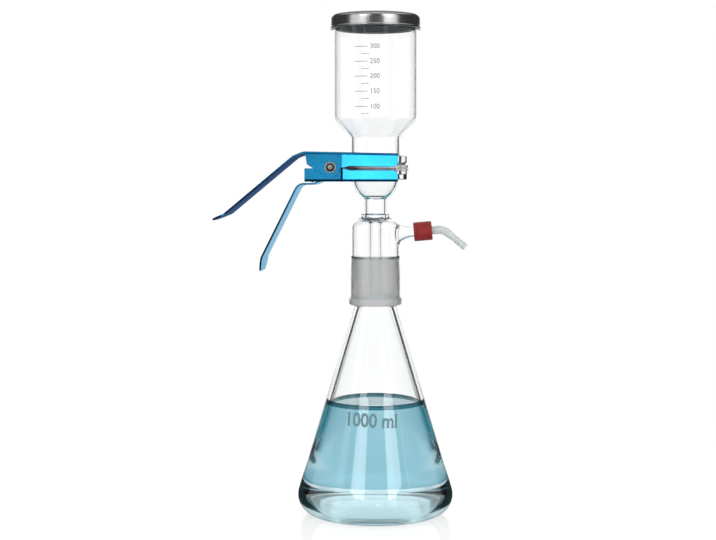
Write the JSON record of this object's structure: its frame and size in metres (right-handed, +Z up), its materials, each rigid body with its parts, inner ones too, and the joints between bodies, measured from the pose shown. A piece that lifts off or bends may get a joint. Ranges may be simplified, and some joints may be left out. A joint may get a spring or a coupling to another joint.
{
  "type": "vacuum filtration unit",
  "caption": "Glass vacuum filter: conical flask, head with side arm and hose connector, graduated cup with steel lid, held together by a blue sheet-metal spring clamp.",
  "frame": {"origin": "centre of the flat ring that the flask stands on, on the unit's vertical axis, at bench height", "axes": "+Z up along the unit's axis, +X towards the vacuum side arm, -X towards the clamp's handles"},
  "size_m": [0.2194, 0.1344, 0.4317],
  "materials": {
    "glass": "clear borosilicate glass, ground where it joins",
    "liquid": "clear pale blue liquid",
    "sintered_glass": "white sintered glass, matte and porous",
    "membrane": "matte white membrane",
    "lid_steel": "polished stainless steel",
    "blue_anodised": "bright blue anodised, satin",
    "zinc_steel": "zinc plated, bright",
    "spring_steel": "drawn spring wire",
    "red_plastic": "dark red moulded plastic, satin",
    "silicone": "matte silicone",
    "clear_plastic": "translucent moulded plastic"
  },
  "bodies": {
    "unit": {"flask": "glass", "filtrate": "liquid", "filter_head": "glass", "frit_disc": "sintered_glass", "membrane_filter": "membrane", "cup": "glass", "lid": "lid_steel", "lower_jaw": "blue_anodised", "pivot_screw": "zinc_steel", "front_washer": "zinc_steel", "rear_washer": "zinc_steel", "pivot_nut": "zinc_steel", "spring_sleeve": "zinc_steel", "clamp_spring": "spring_steel"},
    "upper_clamp": {"upper_jaw": "blue_anodised"},
    "seal": {"cap_seal": "silicone"},
    "cap": {"screw_cap": "red_plastic"},
    "connector": {"hose_connector": "clear_plastic"}
  },
  "joints": [
    {"name": "clamp_hinge", "type": "hinge", "parent": "unit", "child": "upper_clamp", "pos_m": [-0.0374, 0, 0.3004], "axis": [0, -1, 0], "range_deg": [0, 16], "stiffness_Nm_per_rad": 1.2, "springref_deg": -28.65, "deforming": ["clamp_spring"]},
    {"name": "cap_travel", "type": "slide", "parent": "unit", "child": "seal", "axis": [0.9962, 0, 0.0872], "range_m": [0, 0.005]},
    {"name": "cap_turn", "type": "hinge", "parent": "seal", "child": "cap", "pos_m": [0, 0, 0.2419], "axis": [0.9962, 0, 0.0872], "range_deg": [0, 720]},
    {"name": "connector_swivel", "type": "hinge", "parent": "seal", "child": "connector", "pos_m": [0, 0, 0.2419], "axis": [0.9962, 0, 0.0872], "continuous": true}
  ],
  "couplings": [
    {"joint": "cap_turn", "follows": "cap_travel", "rad_per_m": 2513.3}
  ]
}
